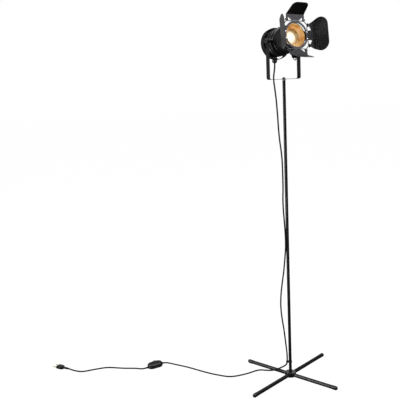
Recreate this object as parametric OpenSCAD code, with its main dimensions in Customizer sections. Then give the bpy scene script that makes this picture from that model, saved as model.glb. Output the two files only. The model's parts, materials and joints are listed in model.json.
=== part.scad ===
/* [Base] */
// Length of the longer floor bar, tip to tip
bar_long = 492; // [420:2:560]
// Length of the shorter floor bar, tip to tip
bar_short = 438; // [380:2:520]
// Direction of the longer bar, seen from above
bar_angle = 47; // [35:1:55]
// Diameter of the floor tubes
leg_d = 15; // [12:0.5:18]
// Diameter of the central hub
hub_d = 44; // [40:1:60]

/* [Pole] */
// Diameter of the pole tubes
pole_d = 12; // [12:0.5:14]
// Height of the top of the pole
pole_top = 1190; // [1100:10:1300]

/* [Yoke] */
// Distance between the middles of the two arms
yoke_span = 141; // [140:1:160]
// Width of the strip that the yoke is bent from
yoke_w = 22; // [20:1:26]
// Height of the tilt pivots above the bottom strip
pivot_rise = 142; // [135:1:170]
// Swivel of the yoke about the pole
head_yaw = 28; // [-60:1:60]

/* [Head] */
// Upward tilt of the spot
head_tilt = 9.5; // [-20:0.5:40]
// Radius of the can at its front
can_r = 46.8; // [45:0.1:48]
// Outer radius of the rear cap
cap_r = 59.6; // [58:0.1:62]
// Diameter of the lamp's face
bulb_d = 50; // [46:1:50]

/* [Barn doors] */
// Half of the side of the square door frame
frame_half = 52; // [50:1:54]
// Distance from the tilt pivots to the door frame
frame_s = 84; // [80:1:90]
// Length of each door's narrow band
band_len = 20.2; // [19:0.2:24]
// Length of the side doors' wide leaf
leaf_len = 60; // [50:1:64]
// Length of the top and bottom doors' leaf
short_leaf_len = 54.5; // [46:0.5:58]
// Fixed fold between band and leaf
fold = 51.5; // [40:0.5:60]

/* [Cord] */
// Diameter of the mains cord
cord_d = 6; // [5:0.5:6]

/* [Hidden] */
$fn = 96;
gap = 0.05;

// floor stand
leg_wall = 1.5;
cap_d = leg_d + 1.2;
leg_z = cap_d / 2;
leg_angles = [bar_angle, bar_angle - 90, bar_angle + 180, bar_angle + 90];
leg_reach = [bar_long / 2, bar_short / 2, bar_long / 2, bar_short / 2];
foot_len = 24;
foot_flat = 6;
socket_r = hub_d / 2 - 5;
insert_len = 20;
stud_d = 8;
stud_in = 9;
stud_out = socket_r + 18;
hub_z = 1;
hub_top = 19;
hub_bevel = 1.5;
pole_seat = hub_top - 3;
bolt_d = 6;
bolt_head_d = 13;
bolt_seat = 6;

// pole
pole_wall = 1.2;
pole_bore = pole_d - 2 * pole_wall;
plug_d = pole_bore - 2 * gap;
joint_low = 410;
joint_high = 805;
coupler_half = 30;
flange_t = 2;
clip_z = 62;
clip_x = -12;

// swivel stack on the pole's top
friction_t = 1;
friction_d = 20;
washer_t = 1;
washer_d = 16;
screw_head_d = 12;
screw_head_h = 5;

// yoke
yoke_t = 1.5;
yoke_z = pole_top + flange_t + friction_t + gap;
pivot_z = yoke_z + pivot_rise;
arm_x = yoke_span / 2;
bend_r = 8;
shank_d = 6;
stud_start = 50;
shank_hole = 6.12;

// spot housing, s is measured forward from the tilt axis
sheet = 1.5;
can_back = -54;
can_front = 74.5;
can_ribs = [[-34, 51.5], [-15, 52.5], [3, 52]];
rib_r = 10;
cap_back = -69;
cap_front = -42;
cap_edge = 11.5;
cap_bolts = [90, 210, 330];
cap_bolt_r = 38;
vent_turns = [-33, -63, -123, -153];
vent_in = 46;
vent_out = 57.5;
vent_angle = 26;
liner_back = 30;
liner_front = 73.5;
liner_r = can_r - sheet - 0.1;
cup_r = bulb_d / 2 + 2;
cup_back = 22;
cup_neck = 44;
cup_front = 52.4;
cup_flare = 34;
bulb_face = 50;
pin_x = 5;
holder_back = -24;
boss_d = 14;
boss_x = arm_x - yoke_t / 2 - gap - 1.3;
knob_x = arm_x + yoke_t / 2 + gap;
knob_d = 20;
knob_h = 10;
gland_s = -56;
gland_angle = 8;
gland_d = 19;
gland_end = 72;

// door frame and doors, which sit slightly turned on the can
frame_turn = -2.2;
frame_t = 1.2;
frame_hole_r = 43.5;
ring_r = 51.5;
corner_cut = 12;
bracket_r = can_r + 0.65;
bracket_back = 62;
bracket_screw_s = 68;
bracket_half = 21;
frame_screw_x = 47.6;
screw_ys = [-12, 12];
hinge_r = frame_half + 2.5;
hinge_x = 37.5;
barrel_d = 4.6;
hinge_pin_d = 2.4;
hinge_bore = hinge_pin_d + 2 * gap;
frame_barrel = 5;
door_barrel = 3.6;
barrel_step = 4.4;
door_t = 1.2;
band_root = 2.9;
band_edge = -1.8;
root_half = 30.4;
eye_drop = 23;
band_angle = [84, 71, 73, 77];
side_turn = [0, 90, 180, -90];

// foot switch and plug
switch_x = -563;
switch_y = 149;
switch_turn = 32;
switch_len = 68;
switch_w = 40;
switch_split = 8;
switch_top_z = 20;
switch_cord_z = 6;
relief_len = 10;
relief_d = 8.4;
button_d = 22;
button_travel = 3;
plug_turn = 150;
plug_z = 7;
plug_relief_len = 26;
plug_len = 34;

// Middle line of the cord from the gland down to the floor and on to the switch
upper_route = [
    [-29.3, 33.6, 1255.2], [-30, 31, 1240], [-33, 26, 1221], [-36, 20, 1203], [-36, 15, 1182],
    [-33, 10, 1150], [-30, 6, 1115], [-27, 2, 1060], [-25, 0, 1012], [-22, -2, 966],
    [-17, -4, 920], [-14, -5, 870], [-13.5, -5, 781], [-15, -5, 734], [-14, -5, 687],
    [-11, -5, 639], [-9, -6, 591], [-9, -6, 543], [-13, -5, 494], [-18, -4, 446],
    [-25, -3, 397], [-31, -2, 348], [-33, -2, 298], [-29, -1, 248], [-22, 0, 197],
    [-17, 0, 146], [-12.5, 0, 100], [-12, 0, 72], [-12, 0, 60], [-17, 1, 49],
    [-29, 5, 39], [-45, 16, 27], [-61, 30, 15], [-77, 43, 7.5], [-94, 54, 4],
    [-127, 60, 3.1], [-180, 30, 3.1], [-243, 11, 3.1], [-300, 34, 3.1], [-355, 70, 3.1],
    [-417, 118, 3.1], [-470, 152, 3.1], [-508, 172, 4.5], [-526.5, 171.8, 6]];
// Middle line of the cord from the switch to the plug
tail_route = [
    [-599.5, 126.2, 6], [-618, 124, 4], [-648, 134, 3.1], [-702, 141, 3.1], [-768, 155, 3.1],
    [-822, 142, 3.1], [-870, 126, 3.1], [-905, 135, 4], [-937.0, 153, 7]];
drop_end = 4;
// The lengths of cord on the yoke and on the stand stop just short of each other
cord_gap = 0.5;
floor_start = 28;

black = "#1c1c1e";
dark = "#101012";
gold = "#c8903c";
steel = "#b8babd";
brass = "#c9a14e";

// ---- helpers ----

module ring(d, bore, h) {
    difference() {
        cylinder(d = d, h = h);
        translate([0, 0, -1]) cylinder(d = bore, h = h + 2);
    }
}

function unit(v) = v / norm(v);

// Arc points that round corner b between a and c
function corner(a, b, c, r, n = 8) =
    let (u = unit(a - b), w = unit(c - b), half = acos(u * w) / 2,
         centre = b + unit(u + w) * r / sin(half),
         p = b + u * r / tan(half) - centre,
         q = b + w * r / tan(half) - centre,
         turn = acos((p * q) / (r * r)) * sign(p.x * q.y - p.y * q.x))
    [for (i = [0:n]) centre + [p.x * cos(turn * i / n) - p.y * sin(turn * i / n),
                               p.x * sin(turn * i / n) + p.y * cos(turn * i / n)]];

// Catmull-Rom curve with two steps for each stretch of a route
function mid_point(a, b, c, d) = (9 * (b + c) - a - d) / 16;
function smooth(r) = let (n = len(r) - 1)
    [for (i = [0:2 * n]) i % 2 == 0 ? r[i / 2] :
        let (k = (i - 1) / 2)
        mid_point(r[max(k - 1, 0)], r[k], r[k + 1], r[min(k + 2, n)])];
function heading(r, i) = unit(r[min(i + 1, len(r) - 1)] - r[max(i - 1, 0)]);

// Tube swept along points first to last of a curve, with a ring at every step
module tube(r, first, last, d, step = 1, sides = 8) {
    rings = [for (i = [first:step:last])
        let (t = heading(r, i), u = unit(cross(t, [0, 1, 0])), w = cross(t, u))
        for (j = [0:sides - 1])
            r[i] + d / 2 * (u * cos(360 * j / sides) + w * sin(360 * j / sides))];
    n = (last - first) / step;
    walls = [for (i = [0:n - 1], j = [0:sides - 1])
        let (a = i * sides + j, b = i * sides + (j + 1) % sides)
        each [[a, a + sides, b + sides], [a, b + sides, b]]];
    caps = [[for (j = [0:sides - 1]) j], [for (j = [sides - 1:-1:0]) n * sides + j]];
    polyhedron(points = rings, faces = concat(walls, caps));
}

// ---- floor stand ----

module on_leg(i) {
    rotate([0, 0, leg_angles[i]]) translate([0, 0, leg_z]) rotate([0, 90, 0]) children();
}

module hub() {
    color(black) difference() {
        union() {
            translate([0, 0, hub_z]) cylinder(d = hub_d, h = hub_top - hub_z - hub_bevel);
            translate([0, 0, hub_top - hub_bevel])
                cylinder(d1 = hub_d, d2 = hub_d - 2 * hub_bevel, h = hub_bevel);
        }
        for (i = [0:3]) on_leg(i) {
            translate([0, 0, socket_r]) cylinder(d = leg_d + 2 * gap, h = hub_d);
            translate([0, 0, stud_in - 0.5]) cylinder(d = stud_d + 2 * gap, h = hub_d);
        }
        translate([0, 0, pole_seat]) cylinder(d = pole_d + 2 * gap, h = hub_top);
        cylinder(d = bolt_d + 0.4, h = hub_top);
        cylinder(d = bolt_head_d + 1, h = bolt_seat);
    }
}

module hub_bolt() {
    color(steel) difference() {
        union() {
            translate([0, 0, 1.5]) cylinder(d = bolt_head_d, h = bolt_seat - 1.5);
            translate([0, 0, bolt_seat]) cylinder(d = bolt_d, h = 30);
        }
        cylinder(d = 5, h = 4, $fn = 6);
    }
}

module leg(i) {
    color(black) on_leg(i) translate([0, 0, socket_r])
        ring(leg_d, leg_d - 2 * leg_wall, leg_reach[i] - cap_d / 2 - 0.5 - socket_r);
}

module leg_inserts() {
    color(steel) for (i = [0:3]) on_leg(i) translate([0, 0, socket_r])
        ring(leg_d - 2 * leg_wall - 2 * gap, stud_d + 2 * gap, insert_len);
}

module leg_studs() {
    color(steel) for (i = [0:3]) on_leg(i) translate([0, 0, stud_in])
        cylinder(d = stud_d, h = stud_out - stud_in);
}

module foot_cap(i) {
    dome = leg_reach[i] - cap_d / 2;
    difference() {
        union() {
            on_leg(i) translate([0, 0, leg_reach[i] - foot_len])
                cylinder(d = cap_d, h = foot_len - cap_d / 2);
            on_leg(i) translate([0, 0, dome]) sphere(d = cap_d);
            rotate([0, 0, leg_angles[i]])
                translate([dome - 12, -foot_flat / 2, 0]) cube([12, foot_flat, 2]);
        }
        on_leg(i) translate([0, 0, leg_reach[i] - foot_len - 1])
            cylinder(d = leg_d + 2 * gap, h = foot_len + 1 - cap_d / 2);
    }
}

module foot_caps() {
    color(dark) for (i = [0:3]) foot_cap(i);
}

// ---- pole ----

module pole_tube(z0, z1) {
    color(black) translate([0, 0, z0]) ring(pole_d, pole_bore, z1 - z0);
}

module pole_foot_plug() {
    color(steel) translate([0, 0, pole_seat]) difference() {
        cylinder(d = plug_d, h = 28);
        translate([0, 0, -1]) cylinder(d = bolt_d + 2 * gap, h = 25);
    }
}

module pole_couplers() {
    color(steel) for (z = [joint_low, joint_high])
        translate([0, 0, z - coupler_half]) ring(plug_d, 5, 2 * coupler_half);
}

module pole_top_plug() {
    color(steel) difference() {
        union() {
            translate([0, 0, pole_top - 28]) cylinder(d = plug_d, h = 28);
            translate([0, 0, pole_top]) cylinder(d = pole_d, h = flange_t);
        }
        translate([0, 0, pole_top - 24]) cylinder(d = bolt_d + 2 * gap, h = 30);
    }
}

module friction_washer() {
    color("#d8d4c8") translate([0, 0, pole_top + flange_t])
        ring(friction_d, bolt_d + 0.2, friction_t);
}

module swivel_washer() {
    color(steel) translate([0, 0, yoke_z + yoke_t + gap]) ring(washer_d, bolt_d + 0.2, washer_t);
}

module swivel_screw() {
    seat = yoke_z + yoke_t + gap + washer_t;
    rise = screw_head_h - 1.5;
    dome = (pow(screw_head_d / 2, 2) + rise * rise) / (2 * rise);
    color(black) {
        translate([0, 0, pole_top - 22]) cylinder(d = bolt_d, h = seat - pole_top + 22);
        translate([0, 0, seat]) cylinder(d = screw_head_d, h = 1.5);
        translate([0, 0, seat + 1.5]) rotate_extrude() intersection() {
            translate([0, rise - dome]) circle(r = dome);
            square([screw_head_d, screw_head_d]);
        }
    }
}

module cable_clip() {
    color(dark) translate([0, 0, clip_z - 4]) difference() {
        union() {
            cylinder(d = pole_d + 3, h = 8);
            translate([clip_x, 0, 0]) cylinder(d = cord_d + 3.6, h = 8);
            translate([clip_x + 2, -2.5, 0]) cube([-clip_x - 6, 5, 8]);
        }
        translate([0, 0, -1]) cylinder(d = pole_d + 2 * gap, h = 10);
        translate([clip_x, 0, -1]) cylinder(d = cord_d + 1, h = 10);
    }
}

// ---- yoke ----

module u_fill(half, low, r) {
    translate([-half, low + r]) square([2 * half, pivot_z - low - r]);
    translate([r - half, low]) square([2 * (half - r), r]);
    for (side = [-1, 1]) translate([side * (half - r), low + r]) circle(r = r);
}

module yoke() {
    color(black) rotate([0, 0, head_yaw]) difference() {
        union() {
            translate([0, yoke_w / 2, 0]) rotate([90, 0, 0]) linear_extrude(height = yoke_w)
                difference() {
                    u_fill(arm_x + yoke_t / 2, yoke_z, bend_r);
                    translate([0, yoke_t]) u_fill(arm_x - yoke_t / 2, yoke_z, bend_r - yoke_t);
                }
            for (side = [-1, 1]) translate([side * arm_x - yoke_t / 2, 0, pivot_z])
                rotate([0, 90, 0]) cylinder(d = yoke_w, h = yoke_t);
        }
        cylinder(d = shank_hole, h = pivot_z - yoke_w);
        translate([-arm_x - 5, 0, pivot_z]) rotate([0, 90, 0])
            cylinder(d = shank_hole, h = yoke_span + 10);
    }
}

// ---- spot housing ----

module on_head() {
    translate([0, 0, pivot_z]) rotate([0, 0, head_yaw]) rotate([90 - head_tilt, 0, 0]) children();
}

module can_fill(inset) {
    r = can_r - inset;
    low = can_back + inset;
    polygon([[0, low], [r, low], [49 - inset, -49], [49 - inset, -25], [48 - inset, -6],
        [r, 12], [r, can_front + 5 * inset], [0, can_front + 5 * inset]]);
    for (rib = can_ribs) translate([rib[1] - rib_r, rib[0]]) circle(r = rib_r - inset);
}

module can_solid() {
    rotate_extrude() can_fill(0);
}

module body_shell() {
    color(black) difference() {
        union() {
            rotate_extrude() difference() {
                can_fill(0);
                can_fill(sheet);
            }
            translate([0, 0, can_front - 3]) ring(2 * can_r + 1.2, 2 * can_r - 1, 3);
        }
        for (a = cap_bolts) rotate([0, 0, a]) translate([cap_bolt_r, 0, can_back - 1])
            cylinder(d = 3.2, h = 4);
        rotate([0, 0, -gland_angle]) translate([0, -34, can_back - 1]) cylinder(d = 8, h = 4);
        rotate([0, 0, frame_turn]) for (y = screw_ys) translate([-60, y, bracket_screw_s])
            rotate([0, 90, 0]) cylinder(d = 3.2, h = 120);
        translate([-can_r - 10, 0, 0]) rotate([0, 90, 0]) cylinder(d = shank_hole, h = 2 * can_r + 20);
    }
}

module cap_fill(inset) {
    r = cap_r - inset;
    edge = cap_edge - inset;
    translate([0, cap_back + inset]) square([r - edge, cap_front - cap_back]);
    translate([0, cap_back + cap_edge]) square([r, cap_front - cap_back - cap_edge + inset]);
    translate([r - edge, cap_back + cap_edge]) circle(r = edge);
}

module vent(a) {
    w = tan(vent_angle / 2) * vent_out * 1.2;
    rotate([0, 0, a]) translate([0, 0, cap_back - 1]) linear_extrude(height = 8) intersection() {
        difference() {
            circle(r = vent_out);
            circle(r = vent_in);
        }
        polygon([[0, 0], [vent_out * 1.2, -w], [vent_out * 1.2, w]]);
    }
}

module rear_cap() {
    color(black) difference() {
        rotate_extrude() difference() {
            cap_fill(0);
            cap_fill(sheet);
        }
        for (a = vent_turns) vent(a);
        for (a = cap_bolts) rotate([0, 0, a]) translate([cap_bolt_r, 0, cap_back - 1])
            cylinder(d = 3.2, h = 4);
        on_gland() cylinder(d = 10.2, h = gland_end);
    }
}

module cap_screws() {
    spacer = can_back - cap_back - sheet;
    color(steel) on_head() for (a = cap_bolts) rotate([0, 0, a]) translate([cap_bolt_r, 0, 0]) {
        translate([0, 0, cap_back + sheet]) cylinder(d = 8, h = spacer);
        translate([0, 0, cap_back]) cylinder(d = 3, h = can_back - cap_back + 5);
        translate([0, 0, cap_back - 2.2]) cylinder(d1 = 4.5, d2 = 6, h = 2.2);
    }
}

module gold_liner() {
    color(gold) on_head() rotate_extrude() {
        translate([liner_r - 0.8, liner_back]) square([0.8, liner_front - liner_back]);
        translate([cup_r + gap, liner_back]) square([liner_r - cup_r - gap, 1]);
    }
}

module lamp_cup() {
    color(gold) on_head() rotate_extrude() {
        polygon([[cup_r - 0.8, cup_back], [cup_r, cup_back], [cup_r, cup_neck],
            [cup_flare, cup_front], [cup_flare - 0.6, cup_front + 0.6], [cup_r - 0.8, cup_neck + 0.4]]);
        translate([19, cup_back]) square([cup_r - 19, 1]);
    }
}

module lampholder() {
    color("#e8e4da") on_head() difference() {
        translate([0, 0, holder_back + sheet]) cylinder(d = 27, h = -holder_back - sheet - 0.5);
        for (side = [-1, 1]) translate([side * pin_x, 0, -9]) cylinder(d = 5.4, h = 10);
    }
}

module holder_bracket() {
    color(steel) on_head() {
        translate([-18, -9, holder_back]) cube([36, 18, sheet]);
        for (x = [-18, 18 - sheet])
            translate([x, -9, can_back + sheet]) cube([sheet, 18, holder_back - can_back - sheet]);
    }
}

module bulb() {
    color("#e9dcc0") on_head() rotate_extrude() difference() {
        polygon([[0, 0], [11, 0], [11, 9], [14, 12], [18.3, 24], [22.6, 38],
            [bulb_d / 2, bulb_face - 5], [bulb_d / 2, bulb_face], [0, bulb_face]]);
        translate([0, bulb_face - 3]) square([18.8, 4]);
    }
}

module bulb_lens() {
    color("#fff6dc") on_head() translate([0, 0, bulb_face - 3 + gap]) cylinder(r = 18.7, h = 3.4);
}

module bulb_pins() {
    color(steel) on_head() for (side = [-1, 1]) translate([side * pin_x, 0, -7])
        cylinder(d = 5, h = 7);
}

module terminal_block() {
    color("#e6e6e0") on_head() difference() {
        translate([-12, 20, can_back + sheet]) cube([24, 12, 14]);
        for (x = [-8, 0, 8]) translate([x, 33, can_back + 11]) rotate([90, 0, 0])
            cylinder(d = 3.4, h = 4);
    }
}

module inner_wires() {
    colours = ["#7a4a2a", "#2b50a0"];
    for (k = [0, 1]) {
        x = k == 0 ? -5 : 5;
        feed = [[x / 1.8 - 4.8, -34, -60], [x / 1.8 - 4.8, -34, -50], [x * 5.2, -22, -44],
            [x * 6, 2, -44], [x * 4.4, 22, -46], [x * 2.55, 26, -46]];
        lead = [[x * 1.6, 19.3, -46], [x * 1.5, 17, -44], [x * 1.2, 13.7, -36],
            [x * 1.2, 13.9, -28], [x * 1.2, 12.5, -23]];
        color(colours[k]) on_head() {
            tube(smooth(feed), 0, 10, 2.2);
            tube(smooth(lead), 0, 7, 2.2);
        }
    }
}

module pivot_bosses() {
    color(black) on_head() difference() {
        for (side = [-1, 1]) translate([side * boss_x, 0, 0]) rotate([0, -side * 90, 0])
            cylinder(d = boss_d, h = boss_x - 40);
        can_solid();
        translate([-arm_x, 0, 0]) rotate([0, 90, 0]) cylinder(d = shank_hole, h = yoke_span);
    }
}

module pivot_washers() {
    color(dark) on_head() for (side = [-1, 1]) translate([side * boss_x, 0, 0])
        rotate([0, side * 90, 0]) ring(18, bolt_d + 0.3, 1.3);
}

module knob(side) {
    color(dark) on_head() rotate([0, side * 90, 0]) difference() {
        union() {
            translate([0, 0, knob_x]) cylinder(d = knob_d - 5, h = knob_h);
            translate([0, 0, knob_x + 1.5]) cylinder(d = knob_d, h = knob_h - 3);
        }
        for (a = [0:30:330]) rotate([0, 0, a]) translate([knob_d / 2 + 0.6, 0, knob_x])
            cylinder(d = 3, h = knob_h);
        translate([0, 0, knob_x - 1]) cylinder(d = shank_d + 2 * gap, h = knob_h - 1);
    }
}

module pivot_studs() {
    color(steel) on_head() for (side = [-1, 1]) rotate([0, side * 90, 0])
        translate([0, 0, stud_start]) cylinder(d = shank_d, h = knob_x + knob_h - 2.5 - stud_start);
}

module on_gland() {
    rotate([0, 0, -gland_angle]) translate([0, 0, gland_s]) rotate([90, 0, 0]) children();
}

module gland() {
    color(dark) on_head() {
        difference() {
            on_gland() {
                translate([0, 0, 54]) cylinder(d = gland_d, h = 14.5);
                translate([0, 0, 68.5]) cylinder(d1 = gland_d, d2 = cord_d + 5, h = gland_end - 68.5);
            }
            rotate_extrude() cap_fill(0);
        }
        on_gland() translate([0, 0, 49.5]) cylinder(d = 10, h = 8);
    }
}

module gland_nut() {
    color(steel) on_head() on_gland() translate([0, 0, 49.5]) difference() {
        cylinder(d = 13.2, h = 2.8, $fn = 6);
        translate([0, 0, -1]) cylinder(d = 10.2, h = 6);
    }
}

// ---- door frame and doors ----

module chamfered(half, cut) {
    k = half - cut;
    polygon([[half, k], [k, half], [-k, half], [-half, k],
        [-half, -k], [-k, -half], [k, -half], [half, -k]]);
}

module on_frame() {
    on_head() rotate([0, 0, frame_turn]) children();
}

module on_side(i) {
    rotate([0, 0, side_turn[i]]) translate([0, hinge_r, frame_s]) children();
}

module lateral_cylinder(d, x0, length) {
    translate([x0, 0, 0]) rotate([0, 90, 0]) cylinder(d = d, h = length);
}

module door_frame() {
    color(black) on_frame() difference() {
        union() {
            translate([0, 0, frame_s - frame_t / 2]) linear_extrude(height = frame_t) difference() {
                chamfered(frame_half, corner_cut);
                circle(r = frame_hole_r);
                difference() {
                    chamfered(frame_half - 3, corner_cut - 1.2);
                    circle(r = ring_r);
                }
            }
            for (i = [0:3], x = [-hinge_x, hinge_x]) on_side(i) {
                lateral_cylinder(barrel_d, x - frame_barrel / 2, frame_barrel);
                translate([x - frame_barrel / 2, frame_half - hinge_r - 1, -frame_t / 2])
                    cube([frame_barrel, hinge_r - frame_half + 1, frame_t]);
            }
        }
        for (i = [0:3]) on_side(i) lateral_cylinder(hinge_bore, -frame_half, 2 * frame_half);
        for (x = [-frame_screw_x, frame_screw_x], y = screw_ys) translate([x, y, frame_s - 2])
            cylinder(d = 3.2, h = 4);
    }
}

module hinge_pins() {
    color(steel) on_frame() for (i = [0:3], x = [-hinge_x, hinge_x])
        on_side(i) lateral_cylinder(hinge_pin_d, x - 6.8, 13.6);
}

module bracket_sector(r0, r1, low, high) {
    difference() {
        translate([0, 0, low]) ring(2 * r1, 2 * r0, high - low);
        for (side = [-1, 1]) rotate([0, 0, side * bracket_half])
            translate([-100, side > 0 ? 0 : -100, low - 1]) cube([200, 100, high - low + 2]);
    }
}

module frame_brackets() {
    under = frame_s - frame_t / 2;
    color(gold) on_frame() for (turn = [0, 180]) rotate([0, 0, turn]) difference() {
        union() {
            bracket_sector(bracket_r, bracket_r + 1.2, bracket_back, under);
            bracket_sector(bracket_r - 3, ring_r, under - 1.2, under);
        }
        for (y = screw_ys) {
            translate([frame_screw_x, y, under - 4]) cylinder(d = 3.2, h = 6);
            translate([40, y, bracket_screw_s]) rotate([0, 90, 0]) cylinder(d = 3.2, h = 12);
        }
    }
}

module frame_screws() {
    color(steel) on_frame() for (turn = [0, 180], y = screw_ys) rotate([0, 0, turn]) {
        translate([frame_screw_x, y, frame_s + frame_t / 2]) cylinder(d1 = 5.6, d2 = 4, h = 1.6);
        translate([frame_screw_x, y, frame_s - 4]) cylinder(d = 3, h = 4 + frame_t / 2);
        translate([44.1, y, bracket_screw_s]) rotate([0, 90, 0]) {
            cylinder(d = 3, h = 3.8);
            translate([0, 0, 3.7]) cylinder(d1 = 5.6, d2 = 4, h = 1.6);
        }
    }
}

// Band outlines run outward from the hinge line, leaf outlines from the fold
module band(crease, notch) {
    difference() {
        union() {
            polygon([[-41, band_root], [41, band_root], [crease, band_len], [-crease, band_len]]);
            translate([-root_half, band_edge])
                square([2 * root_half, band_root - band_edge + 0.5]);
        }
        for (side = [-1, 1]) polygon([for (p = notch) [side * p.x, p.y]]);
    }
}

module leaf(w0, w1, length, r) {
    a = [-w0, 0];
    b = [-w1, length];
    c = [w1, length];
    d = [w0, 0];
    polygon(concat([d, a], corner(a, b, c, r), corner(b, c, d, r)));
}

module plate() {
    translate([0, 0, -door_t / 2]) linear_extrude(height = door_t) children();
}

module on_band(i) {
    on_frame() on_side(i) rotate([90 - band_angle[i], 0, 0]) children();
}

// crease is half the fold's length, tip half the far edge before its corners are rounded
module door(i, crease, tip, length, r, notch) {
    color(black) on_band(i) difference() {
        union() {
            plate() band(crease, notch);
            translate([0, band_len, 0]) {
                lateral_cylinder(door_t + 0.3, 0.4 - crease, 2 * crease - 0.8);
                rotate([fold, 0, 0]) plate() leaf(crease, tip, length, r);
            }
            for (x = [-hinge_x, hinge_x], side = [-1, 1])
                translate([x + side * barrel_step - door_barrel / 2, 0, 0]) {
                    lateral_cylinder(barrel_d, 0, door_barrel);
                    translate([0, 0, -door_t / 2]) cube([door_barrel, band_root + 1, door_t]);
                }
        }
        for (x = [-hinge_x, hinge_x]) lateral_cylinder(hinge_bore, x - 6.9, 13.8);
    }
}

module narrow_door(i) {
    door(i, 39.5, 33.5, short_leaf_len, 18, [[31, -2], [17, -2], [29, 8], [31, 8]]);
}

module wide_door(i) {
    door(i, 51, 76.8, leaf_len, 30, [[33, -2], [17, -2], [19, 12], [33, 5]]);
}

module door_eye() {
    color(dark) on_band(2) translate([23, band_len - 7, -door_t / 2]) {
        translate([-11, 0, -door_t]) cube([22, 6, door_t]);
        translate([0, 0, -door_t - 0.2]) linear_extrude(height = door_t) difference() {
            union() {
                translate([-11, 0]) square([22, 20]);
                translate([0, eye_drop]) circle(d = 14);
            }
            translate([0, eye_drop]) circle(d = 7);
        }
    }
}

// ---- foot switch ----

module on_switch() {
    translate([switch_x, switch_y, 0]) rotate([0, 0, switch_turn]) children();
}

module stadium(length, width) {
    square([length - width, width], center = true);
    for (side = [-1, 1]) translate([side * (length - width) / 2, 0]) circle(d = width);
}

module shell(length, width, low, high) {
    translate([0, 0, low]) linear_extrude(height = high - low) stadium(length, width);
}

module switch_base() {
    color(dark) on_switch() difference() {
        shell(switch_len, switch_w, 0, switch_split);
        shell(switch_len - 4, switch_w - 4, 2, switch_split + 1);
        translate([-switch_len, 0, switch_cord_z]) rotate([0, 90, 0])
            cylinder(d = relief_d + 0.2, h = 2 * switch_len);
        translate([-switch_len, -relief_d / 2 - 0.1, switch_cord_z])
            cube([2 * switch_len, relief_d + 0.2, switch_split]);
    }
}

module switch_top() {
    color(dark) on_switch() difference() {
        union() {
            shell(switch_len, switch_w, switch_split, switch_top_z - 4);
            shell(switch_len - 4, switch_w - 4, switch_top_z - 4, switch_top_z - 1.5);
            shell(switch_len - 10, switch_w - 10, switch_top_z - 1.5, switch_top_z);
        }
        shell(switch_len - 4, switch_w - 4, switch_split - 1, switch_top_z - 6);
        shell(switch_len - 14, switch_w - 10, switch_top_z - 7, switch_top_z - 2);
        translate([-switch_len, 0, switch_cord_z]) rotate([0, 90, 0])
            cylinder(d = relief_d + 0.2, h = 2 * switch_len);
        cylinder(d = button_d + 0.8, h = switch_top_z + 1);
    }
}

module switch_button() {
    rise = 3;
    dome = (pow(button_d / 2, 2) + rise * rise) / (2 * rise);
    color(black) on_switch() {
        translate([0, 0, 14]) cylinder(d = button_d + 3, h = switch_top_z - 2.3 - 14);
        translate([0, 0, 14]) cylinder(d = button_d, h = 9);
        translate([0, 0, 23]) rotate_extrude() intersection() {
            translate([0, rise - dome]) circle(r = dome);
            square([button_d, button_d]);
        }
    }
}

module switch_spring() {
    color(steel) on_switch() translate([0, 0, 2]) {
        ring(12, 6, 5);
        ring(8, 6, 14 - 2 - button_travel - 0.3);
    }
}

module switch_reliefs() {
    color(dark) on_switch() for (side = [-1, 1]) rotate([0, side * 90, 0]) {
        translate([-switch_cord_z * side, 0, switch_len / 2 - 6]) cylinder(d = relief_d, h = 6);
        translate([-switch_cord_z * side, 0, switch_len / 2])
            cylinder(d1 = relief_d, d2 = cord_d + 1, h = relief_len - 1);
    }
}

// ---- plug ----

module on_plug() {
    translate([tail_route[8].x, tail_route[8].y, plug_z]) rotate([0, 0, plug_turn])
        rotate([0, 90, 0]) children();
}

module plug_relief() {
    color(dark) on_plug() translate([0, 0, 0.2])
        cylinder(d1 = cord_d + 1.5, d2 = 10, h = plug_relief_len - 0.2);
}

module plug_body() {
    color(dark) on_plug() translate([-7, 0, plug_relief_len]) {
        translate([14, 0, 0]) rotate([0, -90, 0]) linear_extrude(height = 14)
            polygon([[0, -7], [0, 7], [8, 13], [plug_len, 13], [plug_len, -13], [8, -13]]);
    }
}

module plug_pins() {
    color(brass) on_plug() for (side = [-1, 1])
        translate([0, side * 9.3, plug_relief_len + plug_len]) {
            cylinder(d = 4, h = 17);
            translate([0, 0, 17]) sphere(d = 4);
        }
}

// ---- drawing ----

upper_curve = smooth(upper_route);
tail_curve = smooth(tail_route);
drop_curve = [for (i = [0:2 * drop_end])
    upper_curve[i] - (i < 2 * drop_end ? 0 : cord_gap) * heading(upper_curve, i)];

hub();
hub_bolt();
leg(0);  // leg_back_right
leg(1);  // leg_front_right
leg(2);  // leg_front_left
leg(3);  // leg_back_left
leg_inserts();
leg_studs();
foot_caps();
pole_tube(pole_seat, joint_low);  // pole_lower
pole_tube(joint_low, joint_high);  // pole_middle
pole_tube(joint_high, pole_top);  // pole_upper
pole_foot_plug();
pole_couplers();
pole_top_plug();
friction_washer();
swivel_washer();
swivel_screw();
cable_clip();
yoke();
on_head() body_shell();
on_head() rear_cap();
cap_screws();
gold_liner();
lamp_cup();
lampholder();
holder_bracket();
bulb();
bulb_lens();
bulb_pins();
terminal_block();
inner_wires();
pivot_bosses();
pivot_washers();
pivot_studs();
knob(-1);  // knob_left
knob(1);  // knob_right
gland();
gland_nut();
door_frame();
frame_brackets();
frame_screws();
hinge_pins();
narrow_door(0);  // door_top
wide_door(1);  // door_left
narrow_door(2);  // door_bottom
wide_door(3);  // door_right
door_eye();
color(dark) tube(drop_curve, 0, 2 * drop_end, cord_d);  // cord_drop
color(dark) tube(upper_curve, 2 * drop_end, 2 * floor_start, cord_d, step = 2);  // cord_hang
color(dark) tube(upper_curve, 2 * floor_start, 2 * len(upper_route) - 2, cord_d);  // cord_floor
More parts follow.
